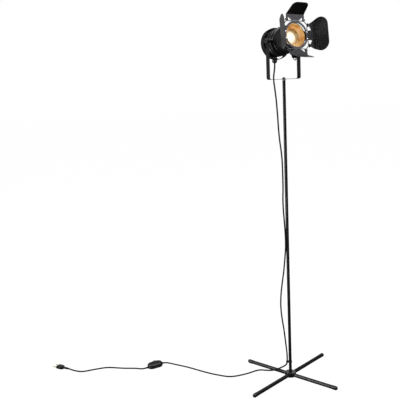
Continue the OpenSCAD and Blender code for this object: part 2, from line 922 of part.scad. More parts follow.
color(dark) tube(tail_curve, 0, 2 * len(tail_route) - 2, cord_d);  // cord_tail
switch_base();
switch_top();
switch_button();
switch_spring();
switch_reliefs();
plug_body();
plug_relief();
plug_pins();
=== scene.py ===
import json
import math

import bmesh
import bpy
import numpy as np
from mathutils import Matrix, Vector


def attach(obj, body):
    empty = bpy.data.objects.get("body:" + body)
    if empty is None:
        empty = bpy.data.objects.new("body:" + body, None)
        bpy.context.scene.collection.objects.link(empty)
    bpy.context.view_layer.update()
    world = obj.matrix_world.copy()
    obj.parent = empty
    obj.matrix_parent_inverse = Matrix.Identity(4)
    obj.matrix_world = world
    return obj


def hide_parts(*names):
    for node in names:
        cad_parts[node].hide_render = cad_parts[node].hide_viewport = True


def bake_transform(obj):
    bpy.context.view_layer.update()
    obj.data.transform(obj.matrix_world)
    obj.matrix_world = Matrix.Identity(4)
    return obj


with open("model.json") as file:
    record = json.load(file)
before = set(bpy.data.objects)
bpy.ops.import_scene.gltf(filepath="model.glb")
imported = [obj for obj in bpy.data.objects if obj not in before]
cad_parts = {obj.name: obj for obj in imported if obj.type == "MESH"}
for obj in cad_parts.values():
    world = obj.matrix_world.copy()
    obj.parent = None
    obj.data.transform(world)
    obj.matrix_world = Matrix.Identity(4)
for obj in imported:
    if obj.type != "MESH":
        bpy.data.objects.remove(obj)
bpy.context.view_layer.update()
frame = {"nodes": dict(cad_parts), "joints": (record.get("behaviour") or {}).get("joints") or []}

JOINTS = {j["name"]: j for j in frame["joints"]}

# Local work is in millimetres, and every placing matrix ends in this scale
MM = 0.001
ROOM = Matrix.Scale(MM, 4)


# ---- frames ----

def axes(x, y, z, origin):
    """A placing matrix with those axes, for millimetres."""
    m = Matrix((x, y, z)).transposed().to_4x4()
    m.translation = origin
    return m @ ROOM


def turn(degrees, axis):
    return Matrix.Rotation(math.radians(degrees), 4, axis)


def shift(x, y, z):
    return Matrix.Translation((x, y, z))


SIDES = ("top", "left", "bottom", "right")
UP = Vector((0, 0, 1))
PIVOT = Vector(JOINTS["head_tilt"]["pos_m"])
RIGHT = -Vector(JOINTS["head_tilt"]["axis"]).normalized()
HINGES = {side: Vector(JOINTS[f"door_{side}_hinge"]["pos_m"]) for side in SIDES}
FORWARD = (sum(HINGES.values(), Vector()) / 4 - PIVOT).normalized()
# Head: X right, Y up, Z along the light, from the tilt axis
HEAD = axes(RIGHT, FORWARD.cross(RIGHT), FORWARD, PIVOT)


def door_place(side):
    """X along a door's pin, Y outward in the frame's plane, Z forward."""
    lateral = -Vector(JOINTS[f"door_{side}_hinge"]["axis"]).normalized()
    return axes(lateral, FORWARD.cross(lateral), FORWARD, HINGES[side])


# ---- camera ----

CAMERA_AT = (-0.3372, -2.4984, 1.176)
CAMERA_DOWN = 9.78
CAMERA_ROLL = -2.6

lens = bpy.data.cameras.new("camera")
lens.sensor_width = 36
lens.lens = 58.6
lens.clip_end = 80
camera = bpy.data.objects.new("camera", lens)
bpy.context.scene.collection.objects.link(camera)
camera.matrix_world = shift(*CAMERA_AT) @ turn(90 - CAMERA_DOWN, "X") @ turn(CAMERA_ROLL, "Z")
bpy.context.scene.camera = camera


# ---- materials ----

class Look:
    """A node material on one Principled shader. Its patterns are measured in millimetres."""

    def __init__(self, name, color, roughness, metallic=0.0):
        self.material = bpy.data.materials.new(name)
        self.material.use_nodes = True
        self.nodes = self.material.node_tree.nodes
        self.links = self.material.node_tree.links
        self.shader = self.nodes["Principled BSDF"]
        self.set("Base Color", (*color, 1))
        self.set("Roughness", roughness)
        self.set("Metallic", metallic)
        coordinates = self.nodes.new("ShaderNodeTexCoord")
        self.uv = coordinates.outputs["UV"]
        self.here = self.scaled(coordinates.outputs["Object"], (1 / MM, 1 / MM, 1 / MM))
        self.normal = None

    def set(self, socket, value):
        self.shader.inputs[socket].default_value = value

    def to(self, socket, value):
        self.links.new(value, self.shader.inputs[socket])

    def scaled(self, vector, scale):
        node = self.nodes.new("ShaderNodeMapping")
        node.inputs["Scale"].default_value = scale
        self.links.new(vector, node.inputs["Vector"])
        return node.outputs["Vector"]

    def noise(self, size, detail=3, stretch=None, source=None):
        """Noise with features about size millimetres across."""
        vector = source or self.here
        if stretch:
            vector = self.scaled(vector, stretch)
        node = self.nodes.new("ShaderNodeTexNoise")
        node.inputs["Scale"].default_value = 1 / size
        node.inputs["Detail"].default_value = detail
        self.links.new(vector, node.inputs["Vector"])
        return node.outputs["Fac"]

    def ramp(self, value, *stops):
        """stops are (position, colour), where a colour may be one grey number."""
        node = self.nodes.new("ShaderNodeValToRGB")
        elements = node.color_ramp.elements
        while len(elements) < len(stops):
            elements.new(0.5)
        for element, (position, color) in zip(elements, stops):
            grey = isinstance(color, (int, float))
            element.position = position
            element.color = (color, color, color, 1) if grey else (*color, 1)
        self.links.new(value, node.inputs["Fac"])
        return node.outputs["Color"]

    def mix(self, a, b, factor):
        node = self.nodes.new("ShaderNodeMix")
        node.data_type = "RGBA"
        self.links.new(factor, node.inputs["Factor"])
        self.links.new(a, node.inputs[6])
        node.inputs[7].default_value = (*b, 1)
        return node.outputs[2]

    def bump(self, height, strength, depth):
        """Bump of that depth in millimetres, on top of any before it."""
        node = self.nodes.new("ShaderNodeBump")
        node.inputs["Strength"].default_value = strength
        node.inputs["Distance"].default_value = depth * MM
        self.links.new(height, node.inputs["Height"])
        if self.normal:
            self.links.new(self.normal, node.inputs["Normal"])
        self.normal = node.outputs["Normal"]
        self.to("Normal", self.normal)


def powder_coat(name, roughness, wave):
    """Satin black powder coat: fine orange peel, clouded gloss and a little dust."""
    look = Look(name, (0.012, 0.012, 0.013), roughness)
    look.set("Specular IOR Level", 0.4)
    cloud = look.ramp(look.noise(35, 4), (0.3, (0.008, 0.008, 0.009)),
                      (0.7, (0.014, 0.014, 0.0155)))
    dust = look.ramp(look.noise(1.6, 6), (0.7, 0), (0.8, 1))
    look.to("Base Color", look.mix(cloud, (0.025, 0.025, 0.024), dust))
    gloss = look.ramp(look.noise(12, 4), (0.25, roughness - 0.04), (0.75, roughness + 0.04))
    look.to("Roughness", gloss)
    look.bump(look.noise(24, 2), 0.4, wave)
    look.bump(look.noise(0.8, 2), 0.15, 0.01)
    return look.material


def moulded(name, color, roughness, grain=0.6, depth=0.08, shine=0.5):
    """Moulded plastic or rubber with a fine grain."""
    look = Look(name, color, roughness)
    look.set("Specular IOR Level", shine)
    dark, light = (tuple(c * k for c in color) for k in (0.75, 1.3))
    look.to("Base Color", look.ramp(look.noise(14, 4), (0.3, dark), (0.7, light)))
    gloss = look.ramp(look.noise(4, 5), (0.25, roughness - 0.08), (0.75, roughness + 0.08))
    look.to("Roughness", gloss)
    look.bump(look.noise(grain, 3), 0.35, depth)
    return look.material


def metal(name, color, roughness):
    """Turned and zinc plated metal with fine machining lines and dull spots."""
    look = Look(name, color, roughness, 1.0)
    dark = tuple(c * 0.7 for c in color)
    look.to("Base Color", look.ramp(look.noise(5, 5), (0.3, dark), (0.7, color)))
    lines = look.noise(0.5, 4, stretch=(1, 1, 0.1))
    look.to("Roughness", look.ramp(lines, (0.25, roughness - 0.1), (0.75, roughness + 0.1)))
    look.bump(lines, 0.2, 0.04)
    return look.material


def spun_gold_painted_glow():
    """Satin gold reflector with the fine rings of spinning round the light's axis, and a painted
    glow.
    """
    look = Look("spun_gold_painted_glow", (0.78, 0.56, 0.30), 0.26, 1.0)
    look.to("Base Color", look.ramp(look.noise(16, 4), (0.25, (0.60, 0.43, 0.22)),
                                    (0.75, (0.80, 0.60, 0.34))))
    # Painted light: an emission glow paints the lamp's uneven light on it, and its darker patches
    # are painted reflections of the dark doors
    look.to("Emission Color", look.ramp(look.noise(22, 1), (0.36, (0.30, 0.14, 0.03)),
                                        (0.48, (0.80, 0.50, 0.20)), (0.64, (1.0, 0.80, 0.44))))
    look.set("Emission Strength", 0.32)
    rings = look.noise(0.01, 3, stretch=(0.02, 1, 1), source=look.uv)
    look.to("Roughness", look.ramp(rings, (0.25, 0.20), (0.75, 0.34)))
    look.bump(rings, 0.3, 0.1)
    return look.material


def lit_glass(centre):
    """The lit front of the lamp: pebbled glass, white in the middle and creamy at its rim."""
    look = Look("lit_glass", (0.5, 0.45, 0.33), 0.25)
    away = look.nodes.new("ShaderNodeVectorMath")
    away.operation = "DISTANCE"
    away.inputs[1].default_value = centre / MM
    look.links.new(look.here, away.inputs[0])
    share = look.nodes.new("ShaderNodeMath")
    share.operation = "DIVIDE"
    share.inputs[1].default_value = LENS_R
    look.links.new(away.outputs["Value"], share.inputs[0])
    look.to("Emission Color", look.ramp(share.outputs["Value"], (0.0, (1.0, 0.96, 0.80)),
                                        (0.7, (1.0, 0.90, 0.66)), (1.0, (0.90, 0.68, 0.36))))
    look.set("Emission Strength", 1.0)
    pebbles = look.nodes.new("ShaderNodeTexVoronoi")
    pebbles.inputs["Scale"].default_value = 0.4
    look.links.new(look.here, pebbles.inputs["Vector"])
    look.bump(pebbles.outputs["Distance"], 0.5, 0.6)
    return look.material


def lamp_shell():
    """The lamp's moulded beige reflector, which glows a little."""
    look = Look("lamp_shell", (0.80, 0.66, 0.44), 0.3)
    look.to("Base Color", look.ramp(look.noise(4, 4), (0.3, (0.68, 0.53, 0.33)),
                                    (0.7, (0.86, 0.74, 0.52))))
    look.set("Emission Color", (0.80, 0.56, 0.28, 1))
    look.set("Emission Strength", 0.18)
    look.bump(look.noise(2, 2), 0.25, 0.2)
    return look.material


# Radius of the lamp's front glass, and its height along the light
LENS_R = 18.7
LENS_Z = 50.4

PAINT = powder_coat("black_paint", 0.37, 0.02)
DOOR_PAINT = powder_coat("door_paint", 0.42, 0.5)
PLASTIC = moulded("black_plastic", (0.013, 0.013, 0.014), 0.42)
SWITCH_PLASTIC = moulded("switch_plastic", (0.014, 0.014, 0.015), 0.34)
RUBBER = moulded("relief_rubber", (0.012, 0.012, 0.012), 0.55, 0.9)
SHEATH = moulded("cord_sheath", (0.008, 0.008, 0.009), 0.6, 1.6, 0.05, 0.2)
NYLON = moulded("nylon", (0.72, 0.70, 0.64), 0.5)
CERAMIC = moulded("ceramic", (0.82, 0.80, 0.75), 0.3, 1.2)
TERMINAL = moulded("terminal_plastic", (0.70, 0.70, 0.66), 0.45)
WIRE = moulded("wire_cover", (0.22, 0.10, 0.05), 0.4)
STEEL = metal("zinc_steel", (0.60, 0.61, 0.63), 0.34)
BRASS = metal("brass", (0.72, 0.58, 0.32), 0.3)
GOLD = spun_gold_painted_glow()
LIT = lit_glass(HEAD @ Vector((0, 0, LENS_Z)))
SHELL = lamp_shell()


# ---- mesh tools ----

def make_piece(name, bm, material, slot, body, *nodes, sharp=30):
    """An object from a bmesh, which rides on a body and stands for those CAD nodes."""
    bmesh.ops.remove_doubles(bm, verts=bm.verts, dist=1e-7)
    bmesh.ops.recalc_face_normals(bm, faces=bm.faces)
    mesh = bpy.data.meshes.new(name)
    bm.to_mesh(mesh)
    bm.free()
    mesh.shade_smooth()
    mesh.set_sharp_from_angle(angle=math.radians(sharp))
    mesh.materials.append(material)
    piece = bpy.data.objects.new(name + "_look", mesh)
    bpy.context.scene.collection.objects.link(piece)
    if body:
        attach(piece, body)
        piece.modifiers.new("even", "WEIGHTED_NORMAL").keep_sharp = True
    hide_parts(*(nodes or [name]))
    return piece


def arc(x, y, r, start, end, steps=12):
    """Points on an arc, in degrees."""
    angles = [math.radians(start + (end - start) * k / steps) for k in range(steps + 1)]
    return [Vector((x + r * math.cos(a), y + r * math.sin(a))) for a in angles]


def circle(x, y, r, steps=32):
    return arc(x, y, r, 0, 360, steps)[:-1]


def rounded(points, radii, steps=4):
    """A closed outline with rounded corners. radii is one number, or one for each point."""
    if isinstance(radii, (int, float)):
        radii = [radii] * len(points)
    points = [Vector(p) for p in points]
    out = []
    for i, b in enumerate(points):
        u = (points[i - 1] - b).normalized()
        w = (points[(i + 1) % len(points)] - b).normalized()
        if radii[i] <= 0 or u.angle(w) > math.radians(178):
            out.append(b)
            continue
        half = u.angle(w) / 2
        centre = b + (u + w).normalized() * radii[i] / math.sin(half)
        start = b + u * radii[i] / math.tan(half) - centre
        end = b + w * radii[i] / math.tan(half) - centre
        sweep = -start.angle_signed(end)
        out += [centre + Matrix.Rotation(sweep * k / steps, 2) @ start for k in range(steps + 1)]
    return out


def skin(bm, rings, ends):
    """Joins rings of vertices. ends is "caps", "loop" (the last ring joins the first) or "open".
    A ring of one vertex is a point."""
    uv = bm.loops.layers.uv.verify()
    count = max(len(ring) for ring in rings)
    joins = len(rings) if ends == "loop" else len(rings) - 1
    for i in range(joins):
        low, high = rings[i], rings[(i + 1) % len(rings)]
        for k in range(count):
            spots = [(low, k, i), (low, k + 1, i), (high, k + 1, i + 1), (high, k, i + 1)]
            corners = {ring[c % len(ring)]: (c / count, r / joins) for ring, c, r in spots}
            if len(corners) > 2:
                face = bm.faces.new(corners)
                for loop in face.loops:
                    loop[uv].uv = corners[loop.vert]
    if ends == "caps":
        for ring in (rings[0], rings[-1]):
            bm.faces.new(ring)


def lathe(bm, profile, place, segments=96, ends="open", shape=None):
    """Turns a profile of (radius, height) about local Z. shape(angle, radius, height) may move
    a point in or out. A point on the axis ends the surface there."""
    rings = []
    for r, z in profile:
        ring = []
        for k in range(segments if r > 1e-6 else 1):
            a = 2 * math.pi * k / segments
            reach = shape(a, r, z) if shape else r
            ring.append(bm.verts.new(place @ Vector((reach * math.cos(a), reach * math.sin(a), z))))
        rings.append(ring)
    skin(bm, rings, ends)


def turned(bm, corners, radii, place, segments=96, shape=None):
    """A solid of revolution. Its corners run from the axis back to the axis, rounded by radii."""
    if isinstance(radii, (int, float)):
        radii = [radii] * (len(corners) - 2)
    lathe(bm, rounded(corners, [0, *radii, 0]), place, segments, "open", shape)


def rod(bm, place, r, low, high, edge=0.4, segments=40):
    turned(bm, [(0, low), (r, low), (r, high), (0, high)], edge, place, segments)


def hollow(bm, place, inner, outer, low, high, edge=0.3, segments=64):
    corners = [(inner, low), (outer, low), (outer, high), (inner, high)]
    lathe(bm, rounded(corners, edge, 3), place, segments, "loop")


def loft(bm, rings, place, ends="caps"):
    skin(bm, [[bm.verts.new(place @ Vector(p)) for p in ring] for ring in rings], ends)


def block(bm, low, high, place, edge=0.3):
    """A box between two corners with rounded edges."""
    low, high = Vector(low), Vector(high)
    size = Matrix.Diagonal((*(high - low), 1))
    box = bmesh.new()
    bmesh.ops.create_cube(box, size=1, matrix=Matrix.Translation((low + high) / 2) @ size)
    bmesh.ops.bevel(box, geom=box.edges[:], offset=edge, segments=2, profile=0.5, affect="EDGES")
    made = {v: bm.verts.new(place @ v.co) for v in box.verts}
    for face in box.faces:
        bm.faces.new([made[v] for v in face.verts])
    box.free()


def folded(p, folds):
    """Where a point of a flat pattern goes. A fold is (the Y it begins at, radius, degrees)."""
    place, start = Matrix(), 0.0
    for begin, radius, degrees in folds:
        if p.y <= begin:
            break
        angle = min((p.y - begin) / radius, math.radians(degrees))
        bend = Matrix.Rotation(angle, 4, "X")
        place = place @ (shift(0, begin - start, radius) @ bend @ shift(0, 0, -radius))
        start = begin + radius * angle
    return place @ Vector((p.x, p.y - start, p.z))


def sheet_metal(bm, outline, holes, thickness, place, folds=(), edge=0.2):
    """Sheet cut to an outline in XY, with softened edges, then folded towards +Z."""
    curve = bpy.data.curves.new("flat", "CURVE")
    curve.dimensions = "2D"
    curve.fill_mode = "BOTH"
    curve.extrude = thickness / 2 - edge
    curve.bevel_depth = edge
    curve.bevel_resolution = 1
    curve.offset = -edge
    for loop in [outline, *holes]:
        spline = curve.splines.new("POLY")
        spline.points.add(len(loop) - 1)
        for point, p in zip(spline.points, loop):
            point.co = (p[0], p[1], 0, 1)
        spline.use_cyclic_u = True
    holder = bpy.data.objects.new("flat", curve)
    mesh = bpy.data.meshes.new_from_object(holder)
    flat = bmesh.new()
    flat.from_mesh(mesh)
    bpy.data.objects.remove(holder)
    bpy.data.curves.remove(curve)
    bpy.data.meshes.remove(mesh)
    bmesh.ops.remove_doubles(flat, verts=flat.verts, dist=1e-4)
    for begin, radius, degrees in folds:
        for k in range(9):
            cut_at = (0, begin + radius * math.radians(degrees) * k / 8, 0)
            bmesh.ops.bisect_plane(flat, geom=[*flat.verts, *flat.edges, *flat.faces],
                                   dist=1e-5, plane_co=cut_at, plane_no=(0, 1, 0))
    uv = bm.loops.layers.uv.verify()
    made = {v: bm.verts.new(place @ folded(v.co, folds)) for v in flat.verts}
    for f in flat.faces:
        face = bm.faces.new([made[v] for v in f.verts])
        for loop, v in zip(face.loops, f.verts):
            loop[uv].uv = v.co.xy / 100
    flat.free()


def curve_through(route, steps):
    """Catmull-Rom curve through a route."""
    p = [Vector(q) for q in route]
    out = []
    for k in range(len(p) - 1):
        a, b, c, d = p[max(k - 1, 0)], p[k], p[k + 1], p[min(k + 2, len(p) - 1)]
        for t in (i / steps for i in range(steps)):
            out.append((2 * b + (c - a) * t + (2 * a - 5 * b + 4 * c - d) * t ** 2
                        + (3 * b - a - 3 * c + d) * t ** 3) / 2)
    return [*out, p[-1]]


def tube(bm, points, radius, place=ROOM, sides=16):
    """A round bar along a curve, with flat ends."""
    rings, side = [], Vector((0, 1, 0))
    for i, p in enumerate(points):
        ahead = (points[min(i + 1, len(points) - 1)] - points[max(i - 1, 0)]).normalized()
        side = (side - ahead * side.dot(ahead)).normalized()
        up = ahead.cross(side)
        turns = [2 * math.pi * k / sides for k in range(sides)]
        rings.append([p + radius * (side * math.cos(a) + up * math.sin(a)) for a in turns])
    loft(bm, rings, place)


# ---- cords ----

CORD_R = 3
# Middle line of the cord from the gland down to the floor and on to the switch
UPPER_ROUTE = [
    (-29.3, 33.6, 1255.2), (-30, 31, 1240), (-33, 26, 1221), (-36, 20, 1203), (-36, 15, 1182),
    (-33, 10, 1150), (-30, 6, 1115), (-27, 2, 1060), (-25, 0, 1012), (-22, -2, 966),
    (-17, -4, 920), (-14, -5, 870), (-13.5, -5, 781), (-15, -5, 734), (-14, -5, 687),
    (-11, -5, 639), (-9, -6, 591), (-9, -6, 543), (-13, -5, 494), (-18, -4, 446),
    (-25, -3, 397), (-31, -2, 348), (-33, -2, 298), (-29, -1, 248), (-22, 0, 197),
    (-17, 0, 146), (-12.5, 0, 100), (-12, 0, 72), (-12, 0, 60), (-17, 1, 49),
    (-29, 5, 39), (-45, 16, 27), (-61, 30, 15), (-77, 43, 7.5), (-94, 54, 4),
    (-127, 60, 3.1), (-180, 30, 3.1), (-243, 11, 3.1), (-300, 34, 3.1), (-355, 70, 3.1),
    (-417, 118, 3.1), (-470, 152, 3.1), (-508, 172, 4.5), (-526.5, 171.8, 6)]
# Middle line of the cord from the switch to the plug
TAIL_ROUTE = [
    (-599.5, 126.2, 6), (-618, 124, 4), (-648, 134, 3.1), (-702, 141, 3.1), (-768, 155, 3.1),
    (-822, 142, 3.1), (-870, 126, 3.1), (-905, 135, 4), (-937.0, 153, 7)]
# Where the cord passes from the yoke's length to the stand's, in points of its route
DROP_END = 4
# Points of the curve for each point of a route
STEPS = 4


def make_cord(name, points, body, *nodes):
    """The cord's mesh, and its path in metres."""
    bm = bmesh.new()
    tube(bm, points, CORD_R)
    piece = make_piece(name, bm, SHEATH, "cord_rubber", body, *nodes)
    return piece, [p * MM for p in points]


upper = curve_through(UPPER_ROUTE, STEPS)
drop, drop_path = make_cord("cord_drop", upper[:DROP_END * STEPS + 1], None)
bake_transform(drop)
hang, hang_path = make_cord("cord_hang", upper[DROP_END * STEPS:], None, "cord_hang", "cord_floor")
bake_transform(hang)
tail, tail_path = make_cord("cord_tail", curve_through(TAIL_ROUTE, STEPS), "stand")


# ---- floor stand ----

LEG_R = 7.5
LEG_START = 17
FOOT_R = 8.1
FOOT_LEN = 24
PAD_LEN, PAD_HALF = 12, 3
HUB_R = 22
HUB_TOP = 19
HUB_SOCKET_R = 6.1
HUB_SOCKET_DROP = 1.1
# Direction and reach of each floor tube
LEGS = {"leg_back_right": (47, 246), "leg_front_right": (-43, 219),
        "leg_front_left": (227, 246), "leg_back_left": (137, 219)}


def make_stand():
    hub = bmesh.new()
    socket = HUB_TOP - HUB_SOCKET_DROP
    turned(hub, [(0, 1), (HUB_R, 1), (HUB_R, HUB_TOP), (HUB_SOCKET_R + HUB_SOCKET_DROP, HUB_TOP),
                 (HUB_SOCKET_R, socket), (0, socket)], [1, 1.6, 0.4, 0.2], ROOM, 128)
    make_piece("hub", hub, PAINT, "black_paint", "stand")
    caps = bmesh.new()
    for name, (angle, reach) in LEGS.items():
        # Z along the leg, X straight down
        place = ROOM @ turn(angle, "Z") @ shift(0, 0, FOOT_R) @ turn(90, "Y")
        leg = bmesh.new()
        rod(leg, place, LEG_R, LEG_START, reach - FOOT_R - 0.5, 0.5, 64)
        make_piece(name, leg, PAINT, "black_paint", "stand")
        mouth = reach - FOOT_LEN
        rim = arc(FOOT_R - 0.5, mouth + 0.5, 0.5, -90, 0, 4)
        groove = arc(FOOT_R, mouth + 3, 0.3, -90, -270, 6)
        nose = [(p.x, reach - FOOT_R + p.y) for p in arc(0, 0, FOOT_R, 0, 86, 16)]
        lathe(caps, [(LEG_R, mouth), *rim, *groove, *nose, (0, reach)], place, 64)
        tip = reach - FOOT_R
        block(caps, (FOOT_R - 2, -PAD_HALF, tip - PAD_LEN), (FOOT_R, PAD_HALF, tip), place, 0.5)
    make_piece("foot_caps", caps, PLASTIC, "black_plastic", "stand")


POLE_R = 6
POLE_WALL = 1.2
POLE_NAMES = ("pole_lower", "pole_middle", "pole_upper")
POLE_JOINTS = (16, 410, 805, 1190)
CLIP_Z, CLIP_H = 62, 8
CLIP_R = 7.5
# The clip's loop for the cord, beside the pole
LOOP_X = -12
LOOP_R, LOOP_HOLE = 4.8, 3.5


def make_pole():
    for name, low, high in zip(POLE_NAMES, POLE_JOINTS, POLE_JOINTS[1:]):
        bm = bmesh.new()
        hollow(bm, ROOM, POLE_R - POLE_WALL, POLE_R, low, high, 0.35, 64)
        make_piece(name, bm, PAINT, "black_paint", "stand")
    clip = bmesh.new()
    outline = [*arc(0, 0, CLIP_R, -160, 160, 32), *arc(LOOP_X, 0, LOOP_R, 37, 323, 24)]
    holes = [circle(0, 0, POLE_R + 0.05), circle(LOOP_X, 0, LOOP_HOLE)]
    sheet_metal(clip, outline, holes, CLIP_H, ROOM @ shift(0, 0, CLIP_Z), edge=0.6)
    make_piece("cable_clip", clip, PLASTIC, "black_plastic", "stand")


SCREW_LOW, SCREW_SEAT = 1168, 1195.6
SCREW_R, SCREW_HEAD_R, SCREW_HEAD_H = 3, 6, 4.7
SOCKET_R = 2.2


def make_swivel_screw():
    """Button head screw with a hexagon socket."""
    seat, top, across = SCREW_SEAT, SCREW_SEAT + SCREW_HEAD_H, SOCKET_R

    def socket(a, r, z):
        flat = math.cos((a + math.pi / 6) % (math.pi / 3) - math.pi / 6)
        return r / flat if r < across + 0.4 and z > seat + 1 else r

    bm = bmesh.new()
    turned(bm, [(0, SCREW_LOW), (SCREW_R, SCREW_LOW), (SCREW_R, seat), (SCREW_HEAD_R, seat),
                (SCREW_HEAD_R, seat + 1.6), (4.2, top), (across, top), (across, seat + 2),
                (0, seat + 2)],
           [0.5, 0, 0.2, 0.8, 1.2, 0.3, 0], ROOM, 48, socket)
    make_piece("swivel_screw", bm, PAINT, "black_paint", "stand")


make_stand()
make_pole()
make_swivel_screw()


# ---- yoke ----

# Distance of each arm's middle from the pole's axis
ARM_X = 70.5
YOKE_W = 22
YOKE_T = 1.5
YOKE_BEND = 7.25
YOKE_HOLE_R = 3.06
# Length of each arm from the tilt axis to the bend
ARM_FLAT = 134


def make_yoke():
    """One strip, bent twice. Its pattern runs down the left arm, across and up the right."""
    quarter = YOKE_BEND * math.pi / 2
    second = ARM_FLAT + quarter + 2 * (ARM_X - YOKE_BEND)
    end = second + quarter + ARM_FLAT
    half = YOKE_W / 2
    outline = [*arc(0, 0, half, 180, 360, 24), *arc(0, end, half, 0, 180, 24)]
    holes = [circle(0, y, YOKE_HOLE_R) for y in (0, end / 2, end)]
    place = axes(RIGHT.cross(UP), -UP, RIGHT, PIVOT - RIGHT * ARM_X * MM)
    bm = bmesh.new()
    sheet_metal(bm, outline, holes, YOKE_T, place,
                [(ARM_FLAT, YOKE_BEND, 90), (second, YOKE_BEND, 90)], edge=0.3)
    make_piece("yoke", bm, PAINT, "black_paint", "yoke", sharp=20)


make_yoke()


# ---- spot housing, with heights along the light from the tilt axis ----

SHEET = 1.5
CAN_BACK, CAN_FRONT = -54, 74.5
CAN_R = 46.8
# Heights where the can's outside changes its taper, and its radius at each
TAPER_AT, TAPER_R = (-49, -25, -6, 12), (49, 49, 48, CAN_R)
RIB_R = 10
# Height and outer radius of each rib
RIBS = ((-34, 51.5), (-15, 52.5), (3, 52))
REAR_R = 59.6
REAR_BACK, REAR_FRONT = -69, -42
REAR_EDGE = 11.5
VENT_TURNS = (-33, -63, -123, -153)
VENT_IN, VENT_OUT = 46, 57.5
VENT_HALF = 13
# The gland's place along the light, and its turn round it
GLAND_S = -56
GLAND_ANGLE = 8


def can_radius(z):
    """Outer radius of the can: a tapering tube with three rolled ribs."""
    taper = float(np.interp(z, TAPER_AT, TAPER_R))
    ribs = [top - RIB_R + math.sqrt(max(0, RIB_R ** 2 - (z - at) ** 2)) for at, top in RIBS]
    return max(taper, *ribs)


def make_can():
    low, high, steps = CAN_BACK + 5, CAN_FRONT - 3.5, 96
    outside = [Vector((can_radius(z), z)) for z in np.linspace(low, high, steps)]
    inside = [(p.x - SHEET, p.y) for p in reversed(outside)]
    bead = arc(CAN_R - 0.9, CAN_FRONT - 1.5, 1.5, -60, 90, 8)
    bm = bmesh.new()
    lathe(bm, [(0, CAN_BACK), *arc(45, low, 5, -90, -10, 8), *outside, *bead,
               (CAN_R - SHEET, CAN_FRONT), *inside, (44, CAN_BACK + SHEET), (0, CAN_BACK + SHEET)],
          HEAD, 128)
    make_piece("body_shell", bm, PAINT, "black_paint", "head", sharp=24)


def cut(piece, knife_mesh):
    """Takes closed shapes out of a piece."""
    bmesh.ops.recalc_face_normals(knife_mesh, faces=knife_mesh.faces)
    mesh = bpy.data.meshes.new("knife")
    knife_mesh.to_mesh(mesh)
    knife_mesh.free()
    knife = bpy.data.objects.new("knife", mesh)
    bpy.context.scene.collection.objects.link(knife)
    modifier = piece.modifiers.new("cut", "BOOLEAN")
    modifier.object = knife
    piece.modifiers.move(len(piece.modifiers) - 1, 0)
    with bpy.context.temp_override(object=piece, active_object=piece):
        bpy.ops.object.modifier_apply(modifier="cut")
    bpy.data.objects.remove(knife)


def make_rear_cap():
    """Deep cap over the back of the can, open towards it, with a ring of curved vent slots."""
    corner = REAR_R - REAR_EDGE
    turn_at = REAR_BACK + REAR_EDGE
    bm = bmesh.new()
    lathe(bm, [(0, REAR_BACK), *arc(corner, turn_at, REAR_EDGE, -90, 0, 14),
               *arc(REAR_R - SHEET / 2, REAR_FRONT, SHEET / 2, 0, 180, 6),
               *arc(corner, turn_at, REAR_EDGE - SHEET, 0, -90, 14), (0, REAR_BACK + SHEET)],
          HEAD, 128)
    cap = make_piece("rear_cap", bm, PAINT, "black_paint", "head", sharp=24)
    slots = bmesh.new()
    for middle in VENT_TURNS:
        a, b = middle - VENT_HALF, middle + VENT_HALF
        outline = [*arc(0, 0, VENT_OUT, a, b), *arc(0, 0, VENT_IN, b, a)]
        loft(slots, [[(*p, z) for p in outline] for z in (REAR_BACK - 1, REAR_BACK + 7)], HEAD)
    cut(cap, slots)


FOIL = 0.8
LINER_R = 45.2
LINER_BACK, LINER_FRONT = 30, 73.5
CUP_R = 27
CUP_HOLE = 19
CUP_BACK, CUP_NECK, CUP_FRONT = 22, 44, 52.4
CUP_FLARE = 34
BULB_R = 25
BULB_FACE = 50
# Radius and height of each step of the lamp's neck and bowl
BULB_PROFILE = ((11, 0), (11, 9), (14, 12), (18.3, 24), (22.6, 38), (BULB_R, BULB_FACE - 5))


def make_reflector():
    """Gold liner with its floor, and the cup round the lamp."""
    wall = LINER_R - FOIL
    liner = bmesh.new()
    lathe(liner, [(LINER_R, LINER_BACK), (LINER_R, LINER_FRONT), (wall, LINER_FRONT),
                  *arc(wall - 3, LINER_BACK + 4, 3, 0, -90, 8), (CUP_R + 0.1, LINER_BACK + 1),
                  (CUP_R + 0.1, LINER_BACK)], HEAD, 128, "loop")
    make_piece("gold_liner", liner, GOLD, "gold_reflector", "head")
    cup = bmesh.new()
    wall = CUP_R - FOIL
    corners = [(CUP_HOLE, CUP_BACK), (CUP_R, CUP_BACK), (CUP_R, CUP_NECK), (CUP_FLARE, CUP_FRONT),
               (CUP_FLARE - 0.6, CUP_FRONT + 0.6), (wall, CUP_NECK + 0.4), (wall, CUP_BACK + 1),
               (CUP_HOLE, CUP_BACK + 1)]
    lathe(cup, rounded(corners, [0.2, 0.6, 3, 0.3, 0.3, 3, 1, 0.2], 6), HEAD, 96, "loop")
    make_piece("lamp_cup", cup, GOLD, "gold_reflector", "head")


def make_lamp():
    seat = BULB_FACE - 3
    shell = bmesh.new()
    turned(shell, [(0, 0), *BULB_PROFILE, (BULB_R, BULB_FACE), (LENS_R + 0.3, BULB_FACE),
                   (LENS_R + 0.3, seat), (0, seat)], [1, 1, 1, 5, 5, 1, 1.2, 0.5, 0], HEAD)
    make_piece("bulb", shell, SHELL, "bulb_body", "head")
    glass = bmesh.new()
    bow = [(LENS_R * x, LENS_Z - 0.9 * x * x) for x in (0.96, 0.8, 0.6, 0.4, 0.2)]
    lathe(glass, [(0, seat + 0.1), (LENS_R, seat + 0.1), (LENS_R, LENS_Z - 1.5), *bow, (0, LENS_Z)],
          HEAD)
    make_piece("bulb_lens", glass, LIT, "lamp_glass", "head")


